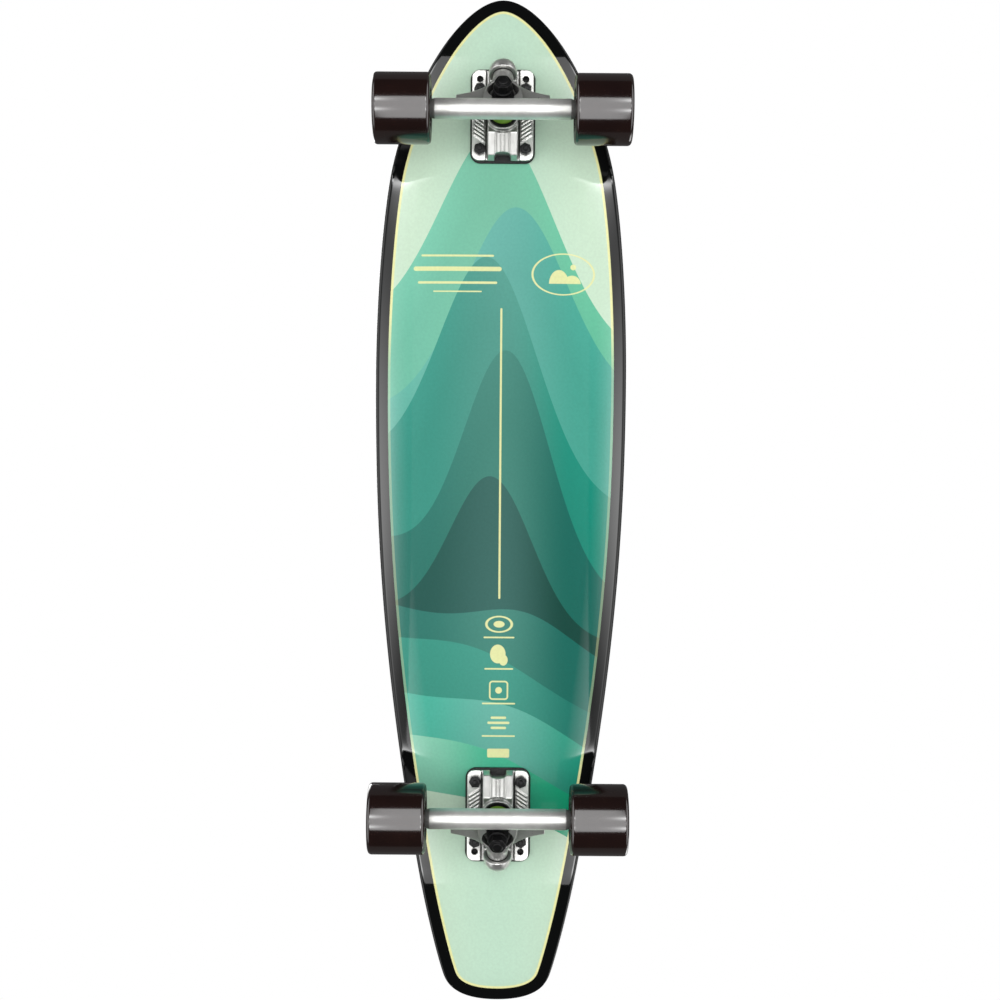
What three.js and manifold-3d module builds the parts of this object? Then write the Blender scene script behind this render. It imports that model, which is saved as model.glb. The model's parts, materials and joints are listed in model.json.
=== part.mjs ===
// A cruiser skateboard: a pointed-nose deck with a kick tail, two reverse-kingpin trucks and four wheels.
// Millimetres. +X points to the nose, +Y to the rider's left, +Z up. The wheels stand on z = 0.
// The origin is under the middle of the deck's length and width.

import * as THREE from 'three';
import Module from 'manifold-3d';

const wasm = await Module();
wasm.setup();

// ---- driving dimensions ----

const gap = 0.3; // clearance between pieces that touch

const deckLength = 919;
const deckWidth = 228.6;
const deckThickness = 11.5;
const deckEdgeInset = 2; // how far the top and bottom faces stop short of the rail
const concaveDepth = 5.5; // rise of the rails above the flat middle
const flatHalfWidth = 38; // the middle strip under the feet and over the trucks has no concave
const gripThickness = 0.8;

const tail = { start: -331, bend: 45, slope: 0.25 }; // kick: where it starts, bend length, final slope
const nose = { start: 396, bend: 30, slope: 0.16 };

const wheelRadius = 30.75;
const wheelWidth = 49.5;
const wheelInnerFace = 62.5; // distance of the wheel's inner face from the board's centre plane
const wheelLip = 3; // rounding of the tread edge
const wheelSegments = 24;
const bearing = { outer: 11, bore: 4.3, width: 6.9, innerSide: 13.2, outerSide: 30.5 };
const wheelCore = { mouth: 19, floor: 13, web: 8.5, sink: 0.4 }; // radii, and how deep a bearing sits
const spacerRadius = 6;
const axleNut = { acrossFlats: 12.7, standOff: 1, height: 7.5 };

const axleRadius = 4;
const axleHalfLength = 111.5;
const axleHeight = wheelRadius;
const frontAxleX = 342;
const rearAxleX = -274;
const axleToDeck = 64.25; // from the axle's centre to the underside of the deck
const deckBottom = axleHeight + axleToDeck;

const riserThickness = 2.4;
const flangeThickness = 5;
const riserTop = deckBottom - gap;
const flangeTop = riserTop - riserThickness - gap;
const flangeBottom = flangeTop - flangeThickness;

// Positions along a truck are measured outboard from its axle.
const boltRows = [-22.7, 31.3];
const spareRow = 40.8;
const boltSide = 20.64;
const flange = { inboard: -32.8, outboard: 49.4, halfWidth: 28, corner: 8 };
const riserOverhang = 1.4;

const truckTilt = THREE.MathUtils.degToRad(28); // kingpin from vertical, and pivot axis from level
const seat = { x: 13, z: 55 }; // where the kingpin and the pivot axis cross
const kingpinRadius = 4.7;
const hangerBar = { radius: 9, halfLength: 75, endRadius: 7.5, taperStart: 59, taperEnd: 63 };

// ---- materials ----

function material(name, color, roughness, metalness) {
  const result = new THREE.MeshStandardMaterial({ color, roughness, metalness });
  result.name = name;
  return result;
}

const looks = {
  deck: material('deck', 0x6fbf9f, 0.35, 0),
  grip: material('grip', 0x161616, 0.95, 0),
  riser: material('riser', 0x101211, 0.7, 0),
  cast: material('cast', 0xc9c9c4, 0.3, 0.9),
  steel: material('steel', 0xb9bbbd, 0.3, 1),
  black: material('black_steel', 0x17181a, 0.45, 0.8),
  bushing: material('bushing', 0x7fa83c, 0.5, 0),
  cup: material('pivot_cup', 0x1b1b1b, 0.6, 0),
  wheel: material('wheel', 0x1d100f, 0.25, 0),
};

// ---- geometry helpers ----

/** A closed ring or solid turned about local Z from a closed profile of [radius, height] points. */
function turned(profile, segments) {
  const points = profile.map(([radius, height]) => new THREE.Vector2(radius, height));
  const onAxis = points[0].x === 0 && points[points.length - 1].x === 0;
  if (!onAxis) points.push(points[0].clone());
  return new THREE.LatheGeometry(points, segments).rotateX(Math.PI / 2);
}

/** A solid rod about local Z between two heights. */
function rod(radius, from, to, segments = 16) {
  return turned([[0, from], [radius, from], [radius, to], [0, to]], segments);
}

/** A hexagonal nut about local Z with a round hole. */
function hexNut(acrossFlats, hole, from, to) {
  const outline = new THREE.Shape();
  for (let side = 0; side < 6; side += 1) {
    const angle = (side + 0.5) * (Math.PI / 3);
    const corner = acrossFlats / 2 / Math.cos(Math.PI / 6);
    outline[side ? 'lineTo' : 'moveTo'](corner * Math.cos(angle), corner * Math.sin(angle));
  }
  outline.closePath();
  outline.holes.push(new THREE.Path().absarc(0, 0, hole, 0, 2 * Math.PI, true));
  return extruded(outline, from, to, 6);
}

/** A flat outline in XY extruded between two heights. */
function extruded(outline, from, to, curveSegments = 4) {
  const settings = { depth: to - from, bevelEnabled: false, curveSegments };
  return new THREE.ExtrudeGeometry(outline, settings).translate(0, 0, from);
}

/** A side profile of [x, z] points extruded across the board, evenly to both sides. */
function crosswise(profile, halfWidth) {
  const outline = new THREE.Shape(profile.map(([x, z]) => new THREE.Vector2(x, z)));
  return extruded(outline, -halfWidth, halfWidth).rotateX(Math.PI / 2);
}

/** A rounded rectangle from low to high along X, and evenly to both sides of it. */
function roundedPlate(low, high, halfWidth, corner) {
  const outline = new THREE.Shape();
  outline.absarc(high - corner, halfWidth - corner, corner, 0, Math.PI / 2, false);
  outline.absarc(low + corner, halfWidth - corner, corner, Math.PI / 2, Math.PI, false);
  outline.absarc(low + corner, corner - halfWidth, corner, Math.PI, 1.5 * Math.PI, false);
  outline.absarc(high - corner, corner - halfWidth, corner, 1.5 * Math.PI, 2 * Math.PI, false);
  return outline;
}

/** Turns a geometry into a manifold solid, merging vertices that share a place. */
function solid(geometry) {
  const positions = geometry.getAttribute('position');
  const index = geometry.getIndex();
  const count = index ? index.count : positions.count;
  const places = new Map();
  const vertices = [];
  const corners = [];
  for (let corner = 0; corner < count; corner += 1) {
    const vertex = index ? index.getX(corner) : corner;
    const place = [positions.getX(vertex), positions.getY(vertex), positions.getZ(vertex)];
    const key = place.map((value) => Math.round(value * 1e4)).join(',');
    if (!places.has(key)) {
      places.set(key, vertices.length / 3);
      vertices.push(...place);
    }
    corners.push(places.get(key));
  }
  const triangles = [];
  for (let corner = 0; corner < corners.length; corner += 3) {
    const [a, b, c] = corners.slice(corner, corner + 3);
    if (a !== b && b !== c && c !== a) triangles.push(a, b, c);
  }
  const mesh = new wasm.Mesh({
    numProp: 3,
    vertProperties: new Float32Array(vertices),
    triVerts: new Uint32Array(triangles),
  });
  return new wasm.Manifold(mesh);
}

/** The geometry of a manifold solid. */
function geometryOf(manifold) {
  const mesh = manifold.getMesh();
  const geometry = new THREE.BufferGeometry();
  geometry.setAttribute('position', new THREE.BufferAttribute(new Float32Array(mesh.vertProperties), 3));
  geometry.setIndex(new THREE.BufferAttribute(new Uint32Array(mesh.triVerts), 1));
  geometry.computeVertexNormals();
  return geometry;
}

/** Joins the first geometries and cuts the others away. */
function joinedAndCut(joined, cut) {
  let body = solid(joined[0]);
  for (const geometry of joined.slice(1)) body = body.add(solid(geometry));
  for (const geometry of cut) body = body.subtract(solid(geometry));
  return geometryOf(body);
}

const board = new THREE.Group();

/** Adds a named mesh to a group. */
function add(group, name, geometry, look) {
  const mesh = new THREE.Mesh(geometry, look);
  mesh.name = name;
  group.add(mesh);
  return mesh;
}

// ---- deck and grip tape ----

// One half of the deck's outline, tail end to nose tip: cubic Bezier curves of [x, half width].
const halfLength = deckLength / 2;
const halfWidth = deckWidth / 2;
const outlineCurves = [
  [[-halfLength, 0], [-halfLength, 33.7], [-447, 45.2], [-434.5, 49.1]],
  [[-434.5, 49.1], [-403.7, 58.9], [-323, 74.8], [-246.4, 86.7]],
  [[-246.4, 86.7], [-117.4, 106.7], [-10, halfWidth], [115.5, halfWidth]],
  [[115.5, halfWidth], [200.6, halfWidth], [275, 106.9], [304.4, 100.7]],
  [[304.4, 100.7], [372.7, 86.3], [halfLength, 38.5], [halfLength, 0]],
];
const stationsPerCurve = [5, 4, 4, 3, 8];

/** The half outline as a list of [x, half width], without the two tips. */
function outlineStations() {
  const stations = [];
  outlineCurves.forEach((points, number) => {
    const [start, first, second, end] = points.map(([x, y]) => new THREE.Vector2(x, y));
    const curve = new THREE.CubicBezierCurve(start, first, second, end);
    const steps = stationsPerCurve[number];
    for (let step = 1; step <= steps; step += 1) {
      const isTip = number === outlineCurves.length - 1 && step === steps;
      if (!isTip) stations.push(curve.getPoint(step / steps).toArray());
    }
  });
  return stations;
}

/** Rise of a kick at a distance past its start: a bend, then a straight slope. */
function kickRise(distance, { bend, slope }) {
  if (distance <= 0) return 0;
  if (distance < bend) return (slope * distance * distance) / (2 * bend);
  return slope * (distance - bend / 2);
}

/** Height of the deck's underside. */
function underside(x, y, width) {
  const reach = Math.max(0, Math.abs(y) - flatHalfWidth) / (halfWidth - flatHalfWidth);
  const fade = THREE.MathUtils.smoothstep(width, 20, halfWidth);
  const kick = kickRise(tail.start - x, tail) + kickRise(x - nose.start, nose);
  return deckBottom + concaveDepth * reach * reach * (0.4 + 0.6 * fade) + kick;
}

const crossFractions = [-1, -0.78, -0.56, -0.33, 0.33, 0.56, 0.78, 1];

/** A plate that follows the deck, from low to high above the underside, with a bulged rim or not. */
function deckPlate(low, high, bulgedRim) {
  const vertices = [];
  const triangles = [];
  const xScale = 1 - deckEdgeInset / halfLength;
  const yInset = deckEdgeInset / halfWidth;
  const stations = outlineStations();

  const vertex = (x, y, z) => vertices.push(x, y, z) / 3 - 1;
  const face = (height) => {
    const tip = (x) => vertex(x * xScale, 0, underside(x, 0, 0) + height);
    const rows = stations.map(([x, width]) =>
      crossFractions.map((fraction) => {
        const y = fraction * width * (1 - yInset);
        return vertex(x * xScale, y, underside(x * xScale, y, width) + height);
      }));
    return { tailTip: tip(-halfLength), rows, noseTip: tip(halfLength) };
  };
  const loopOf = ({ tailTip, rows, noseTip }) => [
    tailTip,
    ...rows.map((row) => row[0]),
    noseTip,
    ...rows.map((row) => row[row.length - 1]).reverse(),
  ];
  const cover = ({ tailTip, rows, noseTip }, up) => {
    const triangle = (a, b, c) => triangles.push(...(up ? [a, b, c] : [a, c, b]));
    for (let column = 0; column + 1 < crossFractions.length; column += 1) {
      triangle(tailTip, rows[0][column], rows[0][column + 1]);
      for (let row = 0; row + 1 < rows.length; row += 1) {
        const [near, far] = [rows[row], rows[row + 1]];
        triangle(near[column], far[column], far[column + 1]);
        triangle(near[column], far[column + 1], near[column + 1]);
      }
      const last = rows[rows.length - 1];
      triangle(last[column], noseTip, last[column + 1]);
    }
  };
  const wall = (lower, upper) => {
    for (let place = 0; place < lower.length; place += 1) {
      const next = (place + 1) % lower.length;
      triangles.push(lower[place], lower[next], upper[next]);
      triangles.push(lower[place], upper[next], upper[place]);
    }
  };

  const bottom = face(low);
  const top = face(high);
  cover(bottom, false);
  cover(top, true);
  if (bulgedRim) {
    const middle = (low + high) / 2;
    const side = (x, y, width) => vertex(x, y, underside(x, y, width) + middle);
    const rim = [
      side(-halfLength, 0, 0),
      ...stations.map(([x, width]) => side(x, -width, width)),
      side(halfLength, 0, 0),
      ...stations.map(([x, width]) => side(x, width, width)).reverse(),
    ];
    wall(loopOf(bottom), rim);
    wall(rim, loopOf(top));
  } else {
    wall(loopOf(bottom), loopOf(top));
  }
  const geometry = new THREE.BufferGeometry();
  geometry.setAttribute('position', new THREE.BufferAttribute(new Float32Array(vertices), 3));
  geometry.setIndex(triangles);
  geometry.computeVertexNormals();
  return geometry;
}

const deckTop = deckBottom + deckThickness;
const gripBottom = deckTop + gap;
const gripTop = gripBottom + gripThickness;
const shank = { radius: 2.4, hole: 2.75, head: 4.6, headDepth: 2.8, sides: 10 };

const boltPlaces = [];
for (const [truck, axleX, outboard] of [['front', frontAxleX, 1], ['rear', rearAxleX, -1]]) {
  for (const [row, offset] of [['inner', boltRows[0]], ['outer', boltRows[1]]]) {
    for (const [side, y] of [['left', boltSide], ['right', -boltSide]]) {
      boltPlaces.push({ name: `${truck}_${row}_${side}`, x: axleX + outboard * offset, y });
    }
  }
}

/** A countersunk hole through the deck and the grip tape. */
function boltHole({ x, y }) {
  const sink = gripTop - shank.headDepth;
  const profile = [[0, 0], [shank.hole, 0], [shank.hole, sink - gap], [shank.head + gap, gripTop],
    [shank.head + gap, gripTop + 10], [0, gripTop + 10]];
  return turned(profile, shank.sides).translate(x, y, 0);
}

const boltHoles = boltPlaces.map(boltHole);
add(board, 'deck', joinedAndCut([deckPlate(0, deckThickness, true)], boltHoles), looks.deck);
const gripPlate = deckPlate(deckThickness + gap, deckThickness + gap + gripThickness, false);
add(board, 'grip_tape', joinedAndCut([gripPlate], boltHoles), looks.grip);

// ---- mounting bolts and nuts ----

const boltNut = { acrossFlats: 9.5, height: 5 };
for (const place of boltPlaces) {
  const end = flangeBottom - gap - boltNut.height - 2;
  const profile = [[0, end], [shank.radius, end], [shank.radius, gripTop - shank.headDepth],
    [shank.head, gripTop - 0.2], [0, gripTop - 0.2]];
  const bolt = turned(profile, shank.sides).translate(place.x, place.y, 0);
  add(board, `bolt_${place.name}`, bolt, looks.black);
  const nutTop = flangeBottom - gap;
  const nut = hexNut(boltNut.acrossFlats, shank.hole, nutTop - boltNut.height, nutTop);
  add(board, `bolt_nut_${place.name}`, nut.translate(place.x, place.y, 0), looks.black);
}

// ---- one truck, in a frame with +X outboard and the axle over x = 0 ----

/** Moves a geometry built about the kingpin (local Z) and the pivot axis (local X) to its place. */
function tilted(geometry) {
  return geometry.rotateY(-truckTilt).translate(seat.x, 0, seat.z);
}

/** Turns a geometry built about local Z to lie along the pivot axis. */
function alongPivot(geometry) {
  return tilted(geometry.rotateY(Math.PI / 2));
}

/** Turns a geometry built about local Z to lie across the board at the axle. */
function alongAxle(geometry) {
  return geometry.rotateX(-Math.PI / 2).translate(0, 0, axleHeight);
}

// Heights along the kingpin, from the seat, positive towards the deck.
const ring = { radius: 15.5, half: 5, hole: 7 };
const boardBushing = { from: ring.half + gap, to: 17.7, wide: 12, narrow: 10.8 };
const roadBushing = { from: -14.6, to: -ring.half - gap, wide: 11, narrow: 8.6 };
const boardWasher = { from: boardBushing.to + gap, to: boardBushing.to + gap + 1.6, radius: 12.8 };
const roadWasher = { from: roadBushing.from - gap - 1.5, to: roadBushing.from - gap, radius: 9.5 };
const bossFace = boardWasher.to + gap;
const kingpinNut = { from: roadWasher.from - gap - 8, to: roadWasher.from - gap, acrossFlats: 13.5 };
const kingpin = { from: kingpinNut.from - 3, to: 34 };

// Distances along the pivot axis, from the seat.
const pivot = { noseStart: 8, noseEnd: 29.7, noseRadius: 9, noseRoom: 1, pinRadius: 5.8,
  tipRadius: 3.5, pinEnd: 36.4 };
const cup = { mouth: 30.3, floor: 36.7, end: 38.2, bore: 6.1, radius: 8.2 };
const housing = { mouth: 30, radius: 12.5, centre: 33 };

// The baseplate's kingpin boss on its ridge, and the pedestal under the pivot housing.
const boss = { radius: 13.5, top: 33, ridgeHalfWidth: 10 };
const pedestal = { from: 33, to: 50, foot: 73, halfWidth: 11.5 };
const aboveFlange = [[-60, flangeTop], [80, flangeTop], [80, flangeTop + 40], [-60, flangeTop + 40]];

// The hanger's wings: a plate that slopes up from the bar to the nose, drawn from the axle outwards.
const wing = { heel: -3, tip: [21, 41], bend: [28, 16], neck: [46, 8], low: -2.5, high: 3.5 };
const wingSlope = THREE.MathUtils.degToRad(45);
const cavityRadius = 13.2;

/** A round profile of a dome about local Z that ends on the axis. */
function dome(radius, centre, steps) {
  const points = [];
  for (let step = 0; step <= steps; step += 1) {
    const angle = (step / steps) * (Math.PI / 2);
    const reach = step === steps ? 0 : radius * Math.cos(angle);
    points.push([reach, centre + radius * Math.sin(angle)]);
  }
  return points;
}

function baseplateGeometry() {
  const plate = roundedPlate(flange.inboard, flange.outboard, flange.halfWidth, flange.corner);
  const bury = flangeBottom + 1; // how high a joined solid reaches into the flange
  const ridgeProfile = [[-29, bury], [-28, 79.5], [-9, 69.5], [14, 78.7], [18, bury]];
  const ridge = crosswise(ridgeProfile, boss.ridgeHalfWidth);
  const bossBody = tilted(rod(boss.radius, bossFace, boss.top, 20));
  const roundEnd = dome(housing.radius, housing.centre, 4);
  const shell = [[0, housing.mouth], [housing.radius, housing.mouth], ...roundEnd];
  const pivotHousing = alongPivot(turned(shell, 20));
  const { from, to, foot, halfWidth: pedestalHalfWidth } = pedestal;
  const pedestalBody = crosswise([[from, foot], [to, foot], [to, bury], [from, bury]], pedestalHalfWidth);
  const bodies = [extruded(plate, flangeBottom, flangeTop, 3), ridge, bossBody, pivotHousing, pedestalBody];
  const cuts = [
    tilted(rod(kingpinRadius + gap, bossFace - 5, kingpin.to + gap, 12)),
    alongPivot(rod(cup.radius + gap, housing.mouth - 10, cup.end + gap, 16)),
    alongPivot(rod(pivot.noseRadius + pivot.noseRoom, 0, housing.mouth, 20)),
    crosswise(aboveFlange, 2 * flange.halfWidth),
  ];
  for (const x of [...boltRows, spareRow]) {
    for (const y of [-boltSide, boltSide]) {
      cuts.push(rod(shank.hole, flangeBottom - 1, flangeTop + 1, shank.sides).translate(x, y, 0));
    }
  }
  return joinedAndCut(bodies, cuts);
}

function riserGeometry() {
  const low = flange.inboard - riserOverhang;
  const high = flange.outboard + riserOverhang;
  const outline = roundedPlate(low, high, flange.halfWidth + riserOverhang, flange.corner + riserOverhang);
  for (const x of boltRows) {
    for (const y of [-boltSide, boltSide]) {
      outline.holes.push(new THREE.Path().absarc(x, y, shank.hole, 0, 2 * Math.PI, true));
    }
  }
  return extruded(outline, flangeTop + gap, riserTop, 4);
}

/** The wings' outline, with [distance along the slope, half width] corners. */
function wingOutline() {
  const [tipX, tipY] = wing.tip;
  const [neckX, neckY] = wing.neck;
  const outline = new THREE.Shape();
  outline.moveTo(wing.heel, -tipY);
  outline.lineTo(tipX, -tipY);
  outline.quadraticCurveTo(wing.bend[0], -wing.bend[1], neckX, -neckY);
  outline.lineTo(neckX, neckY);
  outline.quadraticCurveTo(wing.bend[0], wing.bend[1], tipX, tipY);
  outline.lineTo(wing.heel, tipY);
  outline.closePath();
  return outline;
}

function hangerGeometry() {
  const { radius, halfLength: end, endRadius, taperStart, taperEnd } = hangerBar;
  const half = [[radius, taperStart], [endRadius, taperEnd], [endRadius, end], [0, end]];
  const otherHalf = half.map(([reach, height]) => [reach, -height]).reverse();
  const bar = alongAxle(turned([...otherHalf, ...half], 20));
  const ringBody = tilted(rod(ring.radius, -ring.half, ring.half, 20));
  const nosePin = alongPivot(turned([[0, pivot.noseStart], [pivot.noseRadius, pivot.noseStart],
    [pivot.noseRadius, pivot.noseEnd], [pivot.pinRadius, pivot.noseEnd], [pivot.pinRadius, pivot.pinEnd - 2],
    [pivot.tipRadius, pivot.pinEnd], [0, pivot.pinEnd]], 16));
  const flatPlate = extruded(wingOutline(), wing.low, wing.high, 6);
  const plate = flatPlate.rotateY(-wingSlope).translate(0, 0, axleHeight);
  const cuts = [
    tilted(rod(ring.hole, -40, 40, 14)),
    tilted(rod(cavityRadius, -60, -ring.half, 20)),
    tilted(rod(cavityRadius, ring.half, 60, 20)),
    alongAxle(rod(axleRadius + gap, -end - 5, end + 5, 12)),
  ];
  return joinedAndCut([bar, ringBody, nosePin, plate], cuts);
}

/** A bushing, wide against the hanger ring and narrow against its washer, with a hole for the kingpin. */
function bushingGeometry({ from, to, wide, narrow }) {
  const bore = kingpinRadius + gap;
  const towardsDeck = from > 0;
  const lower = towardsDeck ? wide : narrow;
  const upper = towardsDeck ? narrow : wide;
  const middle = (from + to) / 2;
  const waist = (lower + upper) / 2 + 0.5;
  return tilted(turned([[bore, from], [lower, from], [waist, middle], [upper, to], [bore, to]], 16));
}

function washerGeometry({ from, to, radius }) {
  const bore = kingpinRadius + gap;
  return tilted(turned([[bore, from], [radius, from], [radius, to], [bore, to]], 20));
}

function wheelGeometry() {
  const shoulder = wheelRadius - wheelLip;
  const seatRadius = bearing.outer + gap;
  const { mouth, floor, web, sink } = wheelCore;
  const innerSeat = [bearing.innerSide - sink, bearing.innerSide + bearing.width + gap];
  const outerSeat = [bearing.outerSide - gap, bearing.outerSide + bearing.width + sink];
  return turned([
    [mouth, 0], [shoulder, 0], [wheelRadius, wheelLip], [wheelRadius, wheelWidth - wheelLip],
    [shoulder, wheelWidth], [mouth, wheelWidth], [floor, outerSeat[1]], [seatRadius, outerSeat[1]],
    [seatRadius, outerSeat[0]], [web, outerSeat[0]], [web, innerSeat[1]], [seatRadius, innerSeat[1]],
    [seatRadius, innerSeat[0]], [floor, innerSeat[0]],
  ], wheelSegments);
}

/** A plain ring about the axle: a bearing or a spacer. */
function axleRing(outer, from, to, segments) {
  return turned([[bearing.bore, from], [outer, from], [outer, to], [bearing.bore, to]], segments);
}

/** Adds a truck with its wheels. */
function addTruck(truck, axleX, turn) {
  const group = new THREE.Group();
  group.position.x = axleX;
  group.rotation.z = turn;
  board.add(group);

  add(group, `${truck}_riser_pad`, riserGeometry(), looks.riser);
  add(group, `${truck}_baseplate`, baseplateGeometry(), looks.cast);
  const liner = [[0, cup.end], [cup.radius, cup.end], [cup.radius, cup.mouth], [cup.bore, cup.mouth],
    [cup.bore, cup.floor], [0, cup.floor]].reverse();
  add(group, `${truck}_pivot_cup`, alongPivot(turned(liner, 16)), looks.cup);
  add(group, `${truck}_hanger`, hangerGeometry(), looks.cast);
  const pinGeometry = tilted(rod(kingpinRadius, kingpin.from, kingpin.to, 12));
  add(group, `${truck}_kingpin`, pinGeometry, looks.steel);
  const nutHole = kingpinRadius + gap;
  const nut = tilted(hexNut(kingpinNut.acrossFlats, nutHole, kingpinNut.from, kingpinNut.to));
  add(group, `${truck}_kingpin_nut`, nut, looks.black);
  add(group, `${truck}_board_bushing`, bushingGeometry(boardBushing), looks.bushing);
  add(group, `${truck}_road_bushing`, bushingGeometry(roadBushing), looks.riser);
  add(group, `${truck}_board_washer`, washerGeometry(boardWasher), looks.black);
  add(group, `${truck}_road_washer`, washerGeometry(roadWasher), looks.black);
  const axle = rod(axleRadius, -axleHalfLength, axleHalfLength, 12);
  add(group, `${truck}_axle`, alongAxle(axle), looks.steel);

  for (const side of [1, -1]) {
    // The rear truck is turned round, so its own left is the board's right.
    const name = `${truck}_${side * Math.cos(turn) > 0 ? 'left' : 'right'}`;
    const wheelSide = new THREE.Group();
    wheelSide.position.set(0, side * wheelInnerFace, axleHeight);
    wheelSide.rotation.x = -side * (Math.PI / 2);
    group.add(wheelSide);
    const innerEnd = bearing.innerSide + bearing.width;
    const outerEnd = bearing.outerSide + bearing.width;
    add(wheelSide, `${name}_wheel`, wheelGeometry(), looks.wheel);
    const innerRing = axleRing(bearing.outer, bearing.innerSide, innerEnd, 16);
    add(wheelSide, `${name}_inner_bearing`, innerRing, looks.steel);
    const outerRing = axleRing(bearing.outer, bearing.outerSide, outerEnd, 16);
    add(wheelSide, `${name}_outer_bearing`, outerRing, looks.steel);
    const spacer = axleRing(spacerRadius, innerEnd + gap, bearing.outerSide - gap, 12);
    add(wheelSide, `${name}_spacer`, spacer, looks.steel);
    const nutStart = outerEnd + axleNut.standOff;
    const axleNutBody = hexNut(axleNut.acrossFlats, bearing.bore, nutStart, nutStart + axleNut.height);
    add(wheelSide, `${name}_axle_nut`, axleNutBody, looks.black);
  }
}

addTruck('front', frontAxleX, 0);
addTruck('rear', rearAxleX, Math.PI);

export default board;
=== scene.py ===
"""Cruiser skateboard seen from underneath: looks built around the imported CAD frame.

Lengths in the mesh code are millimetres, turned into metres when a piece is placed.
A truck is drawn in its own frame: +X outboard from the axle, +Y across, +Z up from the ground.
"""

import functools
import json
import math

import bmesh
import bpy
import numpy as np
from mathutils import Matrix, Vector
from mathutils.kdtree import KDTree


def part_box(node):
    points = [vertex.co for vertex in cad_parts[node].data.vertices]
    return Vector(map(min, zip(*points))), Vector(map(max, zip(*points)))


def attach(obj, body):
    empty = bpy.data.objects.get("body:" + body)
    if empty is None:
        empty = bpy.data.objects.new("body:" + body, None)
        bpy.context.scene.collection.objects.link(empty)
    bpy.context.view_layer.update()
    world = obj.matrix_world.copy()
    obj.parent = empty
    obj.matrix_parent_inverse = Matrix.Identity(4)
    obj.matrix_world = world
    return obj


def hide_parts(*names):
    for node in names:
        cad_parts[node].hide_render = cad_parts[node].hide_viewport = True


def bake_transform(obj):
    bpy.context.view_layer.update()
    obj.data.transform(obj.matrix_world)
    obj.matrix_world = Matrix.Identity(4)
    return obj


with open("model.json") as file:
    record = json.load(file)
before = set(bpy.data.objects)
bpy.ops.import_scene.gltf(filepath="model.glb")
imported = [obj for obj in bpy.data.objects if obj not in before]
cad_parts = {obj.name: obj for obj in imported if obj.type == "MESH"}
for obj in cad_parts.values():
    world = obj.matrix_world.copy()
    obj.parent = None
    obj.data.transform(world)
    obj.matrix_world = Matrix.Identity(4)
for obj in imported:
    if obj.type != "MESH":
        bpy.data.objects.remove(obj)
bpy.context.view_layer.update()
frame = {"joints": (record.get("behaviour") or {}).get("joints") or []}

MM = 0.001
TO_METRES = Matrix.Scale(MM, 4)
JOINTS = {joint["name"]: joint for joint in frame["joints"]}


def box_mm(node):
    """Lowest and highest corner of a CAD node, in millimetres."""
    low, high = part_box(node)
    return low / MM, high / MM


# ---- sizes read from the frame ----

DECK_LOW, DECK_HIGH = box_mm("deck")
HALF_LENGTH = DECK_HIGH.x
HALF_WIDTH = DECK_HIGH.y
DECK_BOTTOM = DECK_LOW.z
WHEEL_LOW, WHEEL_HIGH = box_mm("front_left_wheel")
WHEEL_RADIUS = (WHEEL_HIGH.z - WHEEL_LOW.z) / 2
WHEEL_INNER = WHEEL_LOW.y
WHEEL_WIDTH = WHEEL_HIGH.y - WHEEL_INNER
AXLE_HEIGHT = WHEEL_RADIUS
FRONT_AXLE = JOINTS["front_left_wheel_spin"]["pos_m"][0] / MM
REAR_AXLE = JOINTS["rear_left_wheel_spin"]["pos_m"][0] / MM
STEER = JOINTS["front_steer"]
SEAT = Vector((STEER["pos_m"][0] / MM - FRONT_AXLE, 0, STEER["pos_m"][2] / MM))
TILT = math.atan2(STEER["axis"][2], STEER["axis"][0])
PLATE_TOP = box_mm("front_baseplate")[1].z
GRIP_TOP = box_mm("bolt_front_inner_left")[1].z + 0.2
HANGER_HALF = box_mm("front_hanger")[1].y
AXLE_HALF = box_mm("front_axle")[1].y

DECK_THICKNESS = 11.5
GRIP_LIFT = 1.1  # grip surface above the wood
FLAT_HALF = 38.0
CONCAVE = 5.5
TAIL = {"start": -331.0, "bend": 45.0, "slope": 0.25}
NOSE = {"start": 396.0, "bend": 30.0, "slope": 0.16}
FLANGE_THICKNESS = 5.0

TRUCKS = {"front": (FRONT_AXLE, 0.0), "rear": (REAR_AXLE, math.pi)}


def truck_matrix(truck):
    """From a truck's own millimetres to metres on the board."""
    axle_x, turn = TRUCKS[truck]
    return TO_METRES @ Matrix.Translation((axle_x, 0, 0)) @ Matrix.Rotation(turn, 4, "Z")


# About the seat: Z along the kingpin towards the deck, X along the pivot axis towards its cup.
KINGPIN = Matrix.Translation(SEAT) @ Matrix.Rotation(-TILT, 4, "Y")
PIVOT = KINGPIN @ Matrix.Rotation(math.pi / 2, 4, "Y")
# About the axle: Z across the board.
ACROSS = Matrix.Translation((0, 0, AXLE_HEIGHT)) @ Matrix.Rotation(-math.pi / 2, 4, "X")
FLANGE_BOTTOM = PLATE_TOP - FLANGE_THICKNESS


# ---- mesh helpers ----

def sharpened(piece, angle):
    """Shades a piece smoothly, apart from its edges sharper than the angle."""
    piece.data.shade_smooth()
    piece.data.set_sharp_from_angle(angle=math.radians(angle))
    return piece


def make_object(name, vertices, faces, angle=35):
    """A smooth-shaded object whose edges sharper than the angle stay sharp."""
    mesh = bpy.data.meshes.new(name)
    mesh.from_pydata([tuple(v) for v in vertices], [], faces)
    work = bmesh.new()
    work.from_mesh(mesh)
    bmesh.ops.recalc_face_normals(work, faces=work.faces)
    work.to_mesh(mesh)
    work.free()
    piece = bpy.data.objects.new(name, mesh)
    bpy.context.scene.collection.objects.link(piece)
    return sharpened(piece, angle)


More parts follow.
